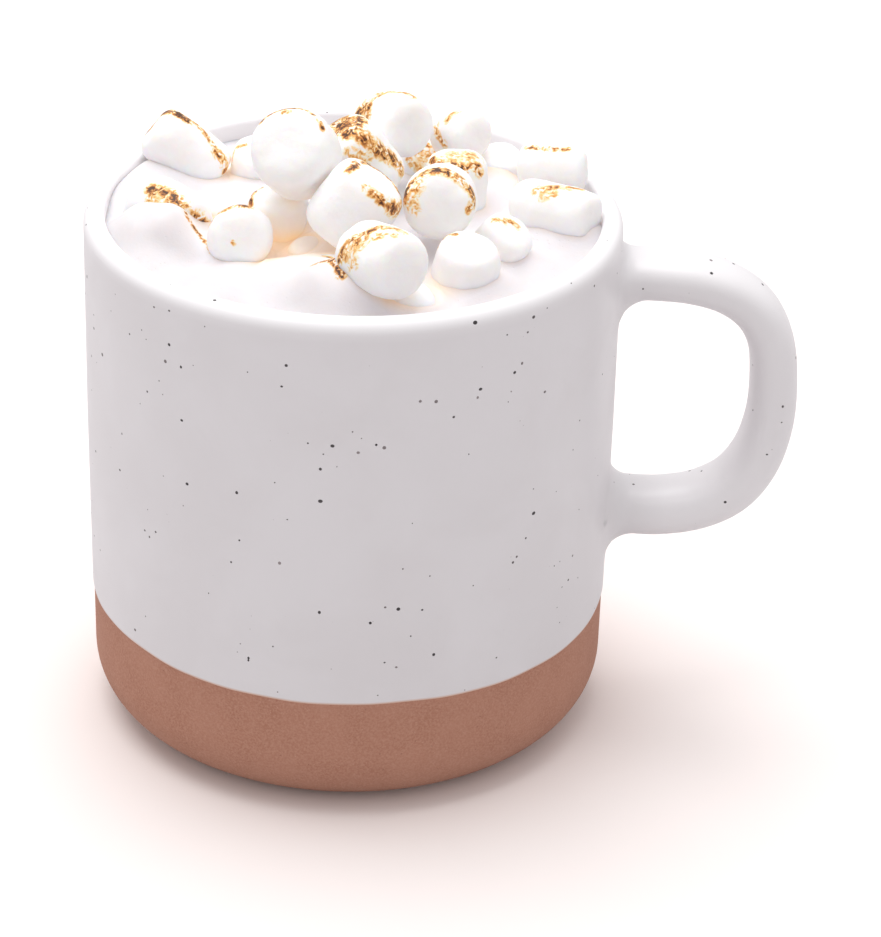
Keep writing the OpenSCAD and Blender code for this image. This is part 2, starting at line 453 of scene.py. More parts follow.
SPECK = make_speck()
print("finishes:", [m.name for m in (GLAZE, CLAY, FROTH, MARSHMALLOW_SKIN, SPECK)])


# %% [markdown]
# The cup is turned on a wheel, so it is a lathe shape: one outline, carried round the axis.
# The outline runs from the middle of the base round the foot, up the bare clay, over the
# rolled edge of the glaze, up the side, over the lip, down the inside and across the floor.
# The glaze was dipped by hand, so its edge rises and falls a little as it goes round.

# %% Outline of the cup
mug_low, mug_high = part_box("mug")
BASE_Z = mug_low.z / MM
LIP_Z = mug_high.z / MM
CUP_R = -mug_low.x / MM
FOOT_R = 44.6
FOOT_ROUND = 11.0
WALL = 3.6
LIP_ROUND = 2.4
INNER_LIP_ROUND = 1.0
FLOOR_Z = 6.0
INNER_ROUND = 12.0
GLAZE_THICK = 0.22
GLAZE_EDGE_Z = 22.3
STEPS_ROUND = 300
# The rolled edge of the glaze: how far it stands out, height above the edge, depth of glaze.
GLAZE_ROLL = [(0.0, -0.55, 0.0), (0.0, -0.25, 0.0), (0.06, -0.10, 0.0), (0.15, 0.02, 0.25),
              (0.20, 0.16, 0.45), (0.22, 0.34, 0.7), (0.22, 0.55, 1.0)]
print("cup radius and lip height:", round(CUP_R, 2), round(LIP_Z, 2))


def arc(middle_r, middle_z, radius, start, end, steps):
    angles = np.radians(np.linspace(start, end, steps + 1))
    return [(middle_r + radius * math.cos(a), middle_z + radius * math.sin(a)) for a in angles]


def side_r(z):
    """Radius of the glazed side at a height."""
    share = min(max((z - FOOT_ROUND) / (0.6 * LIP_Z - FOOT_ROUND), 0.0), 1.0)
    return FOOT_R + (CUP_R - FOOT_R) * share


def cup_outline():
    """Rows of the lathe: radius, height, share of the edge's wave, depth of glaze."""
    rows = [(r, BASE_Z, 0.0, 0.0) for r in (9.0, 18.0, 26.0, 31.0)]
    foot = arc(FOOT_R - GLAZE_THICK - FOOT_ROUND, FOOT_ROUND, FOOT_ROUND, -90, 0, 16)
    rows += [(r, z, 0.0, 0.0) for r, z in foot]
    for z in np.linspace(FOOT_ROUND + 1.0, GLAZE_EDGE_Z - 1.2, 10):
        wave = (z - FOOT_ROUND) / (GLAZE_EDGE_Z - FOOT_ROUND)
        rows.append((side_r(z) - GLAZE_THICK, z, wave, 0.0))
    for out, above, depth in GLAZE_ROLL:
        rows.append((side_r(GLAZE_EDGE_Z) - GLAZE_THICK + out, GLAZE_EDGE_Z + above, 1.0, depth))
    for z in np.linspace(GLAZE_EDGE_Z + 1.4, LIP_Z - LIP_ROUND, 56):
        wave = max(0.0, 1.0 - (z - GLAZE_EDGE_Z) / 8.0)
        rows.append((side_r(z), z, wave, 1.0))
    rows += [(r, z, 0.0, 1.0) for r, z in arc(CUP_R - LIP_ROUND, LIP_Z - LIP_ROUND, LIP_ROUND,
                                              0, 90, 14)[1:]]
    inner_r = CUP_R - WALL
    rows += [(r, z, 0.0, 1.0) for r, z in arc(inner_r + INNER_LIP_ROUND, LIP_Z - INNER_LIP_ROUND,
                                              INNER_LIP_ROUND, 90, 180, 8)]
    for z in np.linspace(LIP_Z - INNER_LIP_ROUND, FLOOR_Z + INNER_ROUND, 30)[1:]:
        rows.append((inner_r, z, 0.0, 1.0))
    rows += [(r, z, 0.0, 1.0) for r, z in arc(inner_r - INNER_ROUND, FLOOR_Z + INNER_ROUND,
                                              INNER_ROUND, 0, -90, 12)[1:]]
    rows += [(r, FLOOR_Z, 0.0, 1.0) for r in (20.0, 10.0)]
    return rows


def edge_wave(angle):
    """How far the edge of the glaze rises or falls, in millimetres."""
    return (0.26 * math.sin(2 * angle + 0.7) + 0.15 * math.sin(5 * angle + 2.1)
            + 0.07 * math.sin(11 * angle + 4.0) + 0.04 * math.sin(23 * angle + 1.0))


# %% [markdown]
# A helper turns rows of points into a closed mesh: each row is a ring, neighbouring rings are
# joined by quads, and each end is closed with a fan. The handle uses the same helper.

# %% Closed meshes from rings
def ring_mesh(name, rings, start=None, end=None):
    """A closed mesh from rings of equal length, with a middle point at each end."""
    count = len(rings[0])
    points = [p for ring in rings for p in ring]
    faces = []
    for row in range(len(rings) - 1):
        for i in range(count):
            j = (i + 1) % count
            low, high = row * count, (row + 1) * count
            faces.append((low + i, low + j, high + j, high + i))
    points.append(start if start is not None else np.mean(rings[0], axis=0))
    points.append(end if end is not None else np.mean(rings[-1], axis=0))
    first, last = len(points) - 2, len(points) - 1
    top = (len(rings) - 1) * count
    for i in range(count):
        j = (i + 1) % count
        faces.append((first, j, i))
        faces.append((last, top + i, top + j))
    mesh = bpy.data.meshes.new(name)
    mesh.from_pydata([tuple(c * MM for c in p) for p in points], [], faces)
    mesh.update()
    return mesh


def face_out(mesh):
    """Makes all faces of a closed mesh point outwards."""
    work = bmesh.new()
    work.from_mesh(mesh)
    bmesh.ops.recalc_face_normals(work, faces=work.faces)
    if work.calc_volume(signed=True) < 0:
        bmesh.ops.reverse_faces(work, faces=work.faces)
    work.to_mesh(mesh)
    work.free()


def add_object(name, mesh, materials=()):
    made = bpy.data.objects.new(name, mesh)
    for material in materials:
        mesh.materials.append(material)
    bpy.context.scene.collection.objects.link(made)
    mesh.shade_smooth()
    return made


# %% Turn the cup
outline = cup_outline()
angles = np.linspace(0, 2 * math.pi, STEPS_ROUND, endpoint=False)
waves = np.array([edge_wave(a) for a in angles])
cup_rings = []
for radius, height, wave, depth in outline:
    cup_rings.append(np.stack([radius * np.cos(angles), radius * np.sin(angles),
                               height + wave * waves], axis=1))
cup_mesh = ring_mesh("cup", cup_rings, (0, 0, BASE_Z), (0, 0, FLOOR_Z))
face_out(cup_mesh)
cup = add_object("cup", cup_mesh)
print("cup faces:", len(cup_mesh.polygons))

# %% [markdown]
# The handle was pulled by hand. Its middle line leaves the cup level, droops a little, turns
# down through a wide bend and comes back level, lower down. It is thinner above and fuller
# below. The section is a soft oval, and both ends widen into the wall like a trumpet.

# %% Handle
HANDLE_LINE = [(43.0, 80.9), (50.0, 80.7), (57.0, 80.1), (63.3, 78.2), (68.3, 74.4), (71.2, 68.6),
               (72.15, 61.0), (71.9, 53.5), (70.0, 46.4), (66.2, 40.9), (60.5, 37.7),
               (54.0, 36.5), (48.5, 36.6), (43.0, 36.9)]
THICK_TOP, THICK_SIDE, THICK_LOW = 7.6, 8.1, 8.6
WIDE_TOP, WIDE_LOW = 12.2, 13.0
SECTION_POINTS = 72
SECTION_POWER = 2.5
LINE_STEPS = 190
# How wide each end flares into the wall: on the outer side of the bend, on the inner side,
# and in front and behind.
FLARE_UPPER_END = (2.2, 6.5)
FLARE_LOWER_END = (5.6, 3.6)
FLARE_SIDES = 4.5
FLARE_START = 0.4  # the flare begins this far inside the wall


def smooth_line(points, steps):
    """Even steps along a smooth curve through the points."""
    points = np.array(points, float)
    padded = np.vstack([2 * points[0] - points[1], points, 2 * points[-1] - points[-2]])
    dense = []
    for i in range(1, len(padded) - 2):
        a, b, c, d = padded[i - 1:i + 3]
        for t in np.linspace(0, 1, 40, endpoint=False):
            dense.append(0.5 * (2 * b + (c - a) * t + (2 * a - 5 * b + 4 * c - d) * t ** 2
                                + (3 * b - a - 3 * c + d) * t ** 3))
    dense.append(points[-1])
    dense = np.array(dense)
    for _ in range(30):
        dense[1:-1] = 0.5 * dense[1:-1] + 0.25 * (dense[:-2] + dense[2:])
    run = np.concatenate([[0], np.cumsum(np.linalg.norm(np.diff(dense, axis=0), axis=1))])
    even = np.linspace(0, run[-1], steps)
    return np.stack([np.interp(even, run, dense[:, k]) for k in (0, 1)], axis=1), even / run[-1]


def flare(distance, radius):
    """How much a trumpet has widened at a distance from the wall it meets."""
    gap = np.clip(distance, 0.0, radius)
    return radius - np.sqrt(np.maximum(radius ** 2 - (radius - gap) ** 2, 0.0))


def handle_rings():
    line, share = smooth_line(HANDLE_LINE, LINE_STEPS)
    along = np.gradient(line, axis=0)
    along /= np.linalg.norm(along, axis=1)[:, None]
    turn_angles = np.linspace(0, 2 * math.pi, SECTION_POINTS, endpoint=False)
    thick = np.interp(share, [0.25, 0.5, 0.75], [THICK_TOP, THICK_SIDE, THICK_LOW])
    wide = np.interp(share, [0.4, 0.7], [WIDE_TOP, WIDE_LOW])
    rings = []
    for middle, direction, t, w, s in zip(line, along, thick, wide, share):
        outward = np.array([-direction[1], direction[0]])
        ring = []
        for a in turn_angles:
            c, d = math.cos(a), math.sin(a)
            reach = (abs(c) ** SECTION_POWER + abs(d) ** SECTION_POWER) ** (-1 / SECTION_POWER)
            high, deep = reach * c * t / 2, reach * d * w / 2
            wall = math.sqrt(max(CUP_R ** 2 - deep ** 2, 0.0))
            gap = middle[0] - wall + FLARE_START
            outer, inner = FLARE_UPPER_END if s < 0.5 else FLARE_LOWER_END
            radius = (outer if c > 0 else inner) * c * c + FLARE_SIDES * d * d
            more = float(flare(gap, radius))
            ring.append((middle[0] + outward[0] * (high + more * c), deep + more * d,
                         middle[1] + outward[1] * (high + more * c)))
        rings.append(np.array(ring))
    return rings


handle_mesh = ring_mesh("handle", handle_rings())
face_out(handle_mesh)
handle = add_object("handle", handle_mesh)
print("handle faces:", len(handle_mesh.polygons))

# %% [markdown]
# On the real mug the handle and the cup are one piece of clay, with no seam. The two closed
# meshes are joined by a Boolean union, and the skin near the joint is then smoothed, as wet
# clay is smoothed with a finger. The smoothing leaves the handle and the cup further off alone.

# %% Join the handle to the cup
JOINT_REACH = 1.5
JOINT_PASSES = 14
ON_WALL = 0.03  # a point or a face this near to the side of the cup belongs to the cup
OFF_WALL = 0.06  # a face further off than this belongs to the handle
JOINT_LOWEST = 28.0


def join_handle(cup, handle):
    union = cup.modifiers.new("union", "BOOLEAN")
    union.operation = "UNION"
    union.object = handle
    union.solver = "MANIFOLD"
    bpy.context.view_layer.update()
    graph = bpy.context.evaluated_depsgraph_get()
    joined = bpy.data.meshes.new_from_object(cup.evaluated_get(graph))
    bpy.data.objects.remove(cup)
    bpy.data.objects.remove(handle)
    return joined


def wall_gap(p):
    """Distance of a point outside the side of the cup, in millimetres."""
    return math.hypot(p.x, p.y) / MM - side_r(p.z / MM)


def smooth_joint(mesh):
    work = bmesh.new()
    work.from_mesh(mesh)
    bmesh.ops.remove_doubles(work, verts=work.verts, dist=0.01 * MM)
    bmesh.ops.triangulate(work, faces=[f for f in work.faces if len(f.verts) > 4])
    side = set()
    for edge in work.edges:
        a, b = edge.verts
        near = abs(wall_gap(a.co)) < ON_WALL and abs(wall_gap(b.co)) < ON_WALL
        if near and a.co.x > 0 and len(edge.link_faces) == 2:
            gaps = [wall_gap(f.calc_center_median()) for f in edge.link_faces]
            lowest = min(a.co.z, b.co.z) / MM
            if max(gaps) > OFF_WALL and min(gaps) < ON_WALL and lowest > JOINT_LOWEST:
                side.update((a, b))
    seam = np.array([v.co for v in side])
    close = []
    for vert in work.verts:
        if vert.co.x < 30.0 * MM or wall_gap(vert.co) < -0.5:
            continue
        if np.min(np.linalg.norm(seam - np.array(vert.co), axis=1)) < JOINT_REACH * MM:
            close.append(vert)
    for _ in range(JOINT_PASSES):
        bmesh.ops.smooth_vert(work, verts=close, factor=0.5, use_axis_x=True, use_axis_y=True,
                              use_axis_z=True)
    work.to_mesh(mesh)
    work.free()
    return len(side), len(close)


# Where painted light makes the glaze whiter: down to this far below the lip, and on the handle
# from this far outside the cup, with the most on the lower arm.
LIP_PAINTED_LIGHT_DOWN, LIP_PAINTED_LIGHT_FADE = 3.0, 2.6
HANDLE_PAINTED_LIGHT_FROM, HANDLE_PAINTED_LIGHT_FADE = 2.0, 8.0
HANDLE_PAINTED_LIGHT, LOW_ARM_MORE = 0.25, 0.4
LOW_ARM_Z, LOW_ARM_FADE = 52.0, 14.0
EDGE_HEIGHTS = [-0.08, 0.02, 0.16, 0.34, 0.55]
EDGE_DEPTHS = [0.0, 0.25, 0.45, 0.7, 1.0]


def keep_values(mesh, label, values):
    """Stores one number for each point of a mesh, where a material can read it."""
    made = mesh.attributes.new(label, "FLOAT", "POINT")
    made.data.foreach_set("value", np.asarray(values, np.float32))


def paint_glaze(mesh):
    """Two finishes by place, how deep the glaze is, and where painted light makes it whiter."""
    mesh.materials.clear()
    mesh.materials.append(GLAZE)
    mesh.materials.append(CLAY)
    points = np.array([v.co for v in mesh.vertices]) / MM
    radii, heights = np.hypot(points[:, 0], points[:, 1]), points[:, 2]
    waves = np.array([edge_wave(a) for a in np.arctan2(points[:, 1], points[:, 0])])
    glazed = (radii < CUP_R - WALL + 0.5) & (heights > FLOOR_Z - 1.0)
    depth = np.interp(heights - GLAZE_EDGE_Z - waves, EDGE_HEIGHTS, EDGE_DEPTHS)
    depth[glazed] = 1.0
    # Painted light: the lip, the inside and the handle, most of all its lower arm, are made
    # whiter.
    painted_lighter = np.clip((heights - (LIP_Z - LIP_PAINTED_LIGHT_DOWN)) / LIP_PAINTED_LIGHT_FADE, 0.0, 1.0)
    painted_lighter *= radii < CUP_R + 0.5
    painted_lighter[glazed] = 1.0
    on_handle = np.clip((radii - CUP_R - HANDLE_PAINTED_LIGHT_FROM) / HANDLE_PAINTED_LIGHT_FADE, 0.0, 1.0)
    low_arm = np.clip((LOW_ARM_Z - heights) / LOW_ARM_FADE, 0.0, 1.0)
    painted_lighter = np.maximum(painted_lighter, on_handle * (HANDLE_PAINTED_LIGHT + LOW_ARM_MORE * low_arm))
    keep_values(mesh, "glaze_depth", depth)
    keep_values(mesh, "glaze_painted_light", painted_lighter)
    for face in mesh.polygons:
        face.material_index = 1 if depth[list(face.vertices)].mean() < 0.1 else 0


mug_mesh = join_handle(cup, handle)
seam_count, smoothed_count = smooth_joint(mug_mesh)
paint_glaze(mug_mesh)
mug = add_object("glazed_mug", mug_mesh)
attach(mug, "root")
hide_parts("mug")
print("points on the seam, points smoothed:", seam_count, smoothed_count)

# %% [markdown]
# The specks are scattered by Geometry Nodes: points are spread over the glazed faces of the
# mug, more where a wide noise is high, and a thin dome is set on each point and turned to
# the surface. Domes are of all sizes, and a few are pale because glaze lies over them. The
# tree ends with real meshes, since an instance wouldn't reach an exported model.

# %% Tree for the specks
def random_value(tree, low, high, seed):
    made = put(tree, "FunctionNodeRandomValue", data_type="FLOAT")
    fill(tree, made, {2: low, 3: high, "Seed": seed})
    return made.outputs[1]


def finish_tree(tree, end, last, finish):
    """Ends a tree: its instances become real meshes and get their material."""
    real = put(tree, "GeometryNodeRealizeInstances", {"Geometry": last.outputs[0]})
    done = put(tree, "GeometryNodeSetMaterial", {"Geometry": real.outputs[0], "Material": finish})
    fill(tree, end, {"Geometry": done.outputs[0]})


def make_speck_tree():
    tree, start, end = new_tree("iron_specks", "GeometryNodeTree", [
        ("Geometry", "Geometry", None), ("Density", "Float", 1.0), ("Radius", "Float", 0.0002),
        ("Cluster size mm", "Float", 16.0), ("Seed", "Int", 1), ("Finish", "Material", None)],
        [("Geometry", "Geometry")])
    given = start.outputs
    place = put(tree, "GeometryNodeInputPosition").outputs[0]
    crowd = rise(tree, noise_of(tree, in_sizes(tree, place, given["Cluster size mm"]), 2.0),
                 0.34, 0.66)
    glazed = put(tree, "GeometryNodeInputNamedAttribute", {"Name": "glaze_depth"})
    outside = vector_calc(tree, "LENGTH", vector_calc(tree, "MULTIPLY", place, (1, 1, 0)))
    wanted = calc(tree, "MULTIPLY", calc(tree, "GREATER_THAN", glazed.outputs[0], 0.99),
                  calc(tree, "GREATER_THAN", outside, (CUP_R - WALL + 0.2) * MM))
    spread = put(tree, "GeometryNodeDistributePointsOnFaces", {
        "Mesh": given["Geometry"], "Seed": given["Seed"], "Selection": wanted,
        "Density": calc(tree, "MULTIPLY", given["Density"],
                        calc(tree, "MULTIPLY_ADD", crowd, 0.85, 0.15))})
    dome = put(tree, "GeometryNodeMeshUVSphere", {"Segments": 9, "Rings": 5, "Radius": 1.0})
    flat = put(tree, "GeometryNodeTransform", {"Geometry": dome.outputs["Mesh"],
                                               "Scale": (1.0, 1.0, 0.09)})
    chance = random_value(tree, 0.0, 1.0, calc(tree, "ADD", given["Seed"], 7))
    size = calc(tree, "MULTIPLY", given["Radius"],
                calc(tree, "MULTIPLY_ADD", calc(tree, "POWER", chance, 2.2), 0.85, 0.42))
    stretch = random_value(tree, 0.75, 1.3, calc(tree, "ADD", given["Seed"], 8))
    scale = put(tree, "ShaderNodeCombineXYZ", {"X": calc(tree, "MULTIPLY", size, stretch),
                                               "Y": size, "Z": size})
    placed = put(tree, "GeometryNodeInstanceOnPoints", {
        "Points": spread.outputs["Points"], "Instance": flat.outputs[0],
        "Rotation": spread.outputs["Rotation"], "Scale": scale.outputs[0]})
    covered = random_value(tree, 0.0, 1.0, calc(tree, "ADD", given["Seed"], 9))
    pale = calc(tree, "POWER", covered, 3.0)
    marked = put(tree, "GeometryNodeStoreNamedAttribute",
                 {"Geometry": placed.outputs[0], "Name": "depth", "Value": pale},
                 data_type="FLOAT", domain="INSTANCE")
    finish_tree(tree, end, marked, given["Finish"])
    return tree


# %% Run a tree and keep its plain mesh
def run_tree(name, tree, values, base=None):
    """Runs a tree on a copy of the base mesh, and returns the result as a plain mesh."""
    holder = bpy.data.objects.new(name + "_holder", (base or bpy.data.meshes.new(name)).copy())
    bpy.context.scene.collection.objects.link(holder)
    modifier = holder.modifiers.new(tree.name, "NODES")
    modifier.node_group = tree
    for item in tree.interface.items_tree:
        if item.in_out == "INPUT" and item.name in values:
            modifier[item.identifier] = values[item.name]
    bpy.context.view_layer.update()
    graph = bpy.context.evaluated_depsgraph_get()
    result = bpy.data.meshes.new_from_object(holder.evaluated_get(graph))
    bpy.data.objects.remove(holder)
    result.name = name
    return result


# %% Scatter the specks
SPECKS_PER_SQUARE_METRE = 30000.0
speck_mesh = run_tree("specks", make_speck_tree(), {
    "Density": SPECKS_PER_SQUARE_METRE, "Radius": 0.27 * MM, "Cluster size mm": 15.0,
    "Seed": 5, "Finish": SPECK}, base=mug_mesh)
specks = add_object("iron_specks", speck_mesh)
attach(specks, "root")
POINTS_PER_DOME = 38
print("specks:", len(speck_mesh.vertices) // POINTS_PER_DOME)

# %% [markdown]
# Each marshmallow stands for one node. A node is a rounded cylinder, and its two flat ends are
# by far its largest flat areas, so their normal gives the axis. The extent along the axis is
# the length, and the extent across it is the diameter.

# %% Read the place of each marshmallow
EDGE_SHARE = 0.24
sweet_names = sorted(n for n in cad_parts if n.startswith("marshmallow_"))


def measure_sweet(name):
    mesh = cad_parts[name].data
    points = np.array([v.co for v in mesh.vertices]) / MM
    sums = {}
    for face in mesh.polygons:
        key = tuple(round(c, 2) for c in face.normal)
        sums[key] = sums.get(key, 0.0) + face.area
    axis = np.array(max(sums, key=sums.get), float)
    axis /= np.linalg.norm(axis)
    if axis[2] < 0 or (abs(axis[2]) < 0.02 and axis[0] < 0):
        axis = -axis
    run = points @ axis
    middle_run = (run.max() + run.min()) / 2
    across = points - np.outer(run, axis)
    middle = (across.max(0) + across.min(0)) / 2
    middle += axis * (middle_run - middle @ axis)
    spread = np.linalg.norm(points - middle - np.outer((points - middle) @ axis, axis), axis=1)
    return {"name": name, "middle": middle, "axis": axis, "length": run.max() - run.min(),
            "diameter": 2 * spread.max()}


SWEETS = {name: measure_sweet(name) for name in sweet_names}
for sweet in SWEETS.values():
    print(sweet["name"], np.round(sweet["middle"], 1), np.round(sweet["axis"], 2),
          round(sweet["diameter"], 1), round(sweet["length"], 1))


def sweet_distance(points, sweet):
    """Distance of points from the skin of a marshmallow, negative inside, in millimetres."""
    half_d, half_l = sweet["diameter"] / 2, sweet["length"] / 2
    edge = EDGE_SHARE * sweet["diameter"]
    offset = points - sweet["middle"]
    along = offset @ sweet["axis"]
    out = np.linalg.norm(offset - np.outer(along, sweet["axis"]), axis=1)
    a, b = out - (half_d - edge), np.abs(along) - (half_l - edge)
    return (np.minimum(np.maximum(a, b), 0.0)
            + np.hypot(np.maximum(a, 0.0), np.maximum(b, 0.0)) - edge)


# %% [markdown]
# The shape of a marshmallow follows a rule, so one tree makes them all. It takes a fine ball
# and pushes each point out until it lies on a cylinder with soft edges. Two noises make it
# lumpy and a little wrinkled. Then the piece is turned to its axis and carried to its place.
# Before the turn it keeps its own coordinates, so that grain and flecks sit on it.

# %% Tree for a marshmallow
def make_sweet_tree():
    tree, start, end = new_tree("soft_marshmallow", "GeometryNodeTree", [
        ("Diameter", "Float", 0.01), ("Length", "Float", 0.01), ("Squareness", "Float", 4.0),
        ("Lump height", "Float", 0.0003), ("Belly", "Float", 0.04), ("Lean", "Float", 0.0),
        ("Seed", "Float", 1.0), ("Middle", "Vector", None), ("Axis", "Vector", None),
        ("Finish", "Material", None)], [("Geometry", "Geometry")])
    given = start.outputs
    ball = put(tree, "GeometryNodeMeshIcoSphere", {"Radius": 1.0, "Subdivisions": 6})
    place = put(tree, "GeometryNodeInputPosition").outputs[0]
    parts = put(tree, "ShaderNodeSeparateXYZ", {0: place}).outputs
    out = vector_calc(tree, "LENGTH", vector_calc(tree, "MULTIPLY", place, (1, 1, 0)))
    half_d = calc(tree, "MULTIPLY", given["Diameter"], 0.5)
    half_l = calc(tree, "MULTIPLY", given["Length"], 0.5)
    power = given["Squareness"]
    a = calc(tree, "POWER", calc(tree, "DIVIDE", out, half_d), power)
    b = calc(tree, "POWER", calc(tree, "DIVIDE", calc(tree, "ABSOLUTE", parts[2]), half_l), power)
    both = calc(tree, "ADD", a, b)
    reach = calc(tree, "POWER", both, calc(tree, "DIVIDE", -1.0, power))
    shaped = vector_calc(tree, "SCALE", place, scale=reach)
    high = calc(tree, "DIVIDE", put(tree, "ShaderNodeSeparateXYZ", {0: shaped}).outputs[2], half_l)
    belly = calc(tree, "MULTIPLY", given["Belly"],
                 calc(tree, "SUBTRACT", 0.5, calc(tree, "MULTIPLY", high, high)))
    wider = calc(tree, "ADD", 1.0, belly)
    taper = calc(tree, "MULTIPLY_ADD", given["Lean"], high, wider)
    stretched = put(tree, "ShaderNodeCombineXYZ", {"X": taper, "Y": wider, "Z": 1.0})
    bellied = vector_calc(tree, "MULTIPLY", shaped, stretched.outputs[0])
    formed = put(tree, "GeometryNodeSetPosition", {"Geometry": ball.outputs["Mesh"],
                                                   "Position": bellied})
    spot = put(tree, "GeometryNodeInputPosition").outputs[0]
    facing = put(tree, "GeometryNodeInputNormal").outputs[0]
    lumps, wrinkles = (
        put(tree, "ShaderNodeTexNoise",
            {"Vector": in_sizes(tree, spot, size_mm), "W": given["Seed"], "Scale": 1.0,
             "Detail": detail, "Roughness": roughness, "Distortion": distortion},
            noise_dimensions="4D").outputs["Fac"]
        for size_mm, detail, roughness, distortion in ((4.6, 1.0, 0.4, 0.0), (1.5, 3.0, 0.5, 0.6)))
    shift = calc(tree, "MULTIPLY_ADD", calc(tree, "SUBTRACT", wrinkles, 0.5), 0.30,
                 calc(tree, "SUBTRACT", lumps, 0.5))
    moved = put(tree, "GeometryNodeSetPosition", {
        "Geometry": formed.outputs[0],
        "Offset": vector_calc(tree, "SCALE", facing,
                              scale=calc(tree, "MULTIPLY", shift, given["Lump height"]))})
    kept = put(tree, "GeometryNodeStoreNamedAttribute",
               {"Geometry": moved.outputs[0], "Name": "own",
                "Value": put(tree, "GeometryNodeInputPosition").outputs[0]},
               data_type="FLOAT_VECTOR", domain="POINT")
    aimed = put(tree, "FunctionNodeAlignRotationToVector", {"Vector": given["Axis"]}, axis="Z")
    carried = put(tree, "GeometryNodeTransform", {"Geometry": kept.outputs[0],
                                                  "Translation": given["Middle"],
                                                  "Rotation": aimed.outputs[0]})
    finish_tree(tree, end, carried, given["Finish"])
    return tree


# %% Make the marshmallows
SWEET_TREE = make_sweet_tree()
SWELL = 0.25  # a soft piece is pressed against its neighbours by this much, in millimetres
sweet_objects = {}
for number, (name, sweet) in enumerate(SWEETS.items()):
    mesh = run_tree("soft_" + name, SWEET_TREE, {
        "Diameter": (sweet["diameter"] + SWELL) * MM, "Length": (sweet["length"] + SWELL) * MM,
        "Squareness": 4.9 + 0.6 * math.sin(number * 2.3), "Lump height": 0.85 * MM,
        "Belly": 0.03 + 0.03 * math.sin(number * 1.7), "Lean": 0.04 * math.sin(number * 3.1),
        "Seed": number * 7.3, "Middle": Vector(sweet["middle"]) * MM,
        "Axis": Vector(sweet["axis"]), "Finish": MARSHMALLOW_SKIN})
    face_out(mesh)
    sweet_objects[name] = add_object("soft_" + name, mesh)
print("faces of one marshmallow:", len(mesh.polygons))

# %% [markdown]
# Two attributes go on each point of a marshmallow. Cleft says how hidden the point is: it adds
# up how near the neighbours and the froth are, and it sets where painted shade and a painted
# glow go. Toast says how much heat it had. The flame licked along rims and high sides, so each
# mark is a short path on the skin of one piece.

# %% How hidden, how toasted
FROTH_EDGE_Z = 88.6
FROTH_RISE = 2.4
FROTH_RISE_R = 36.0
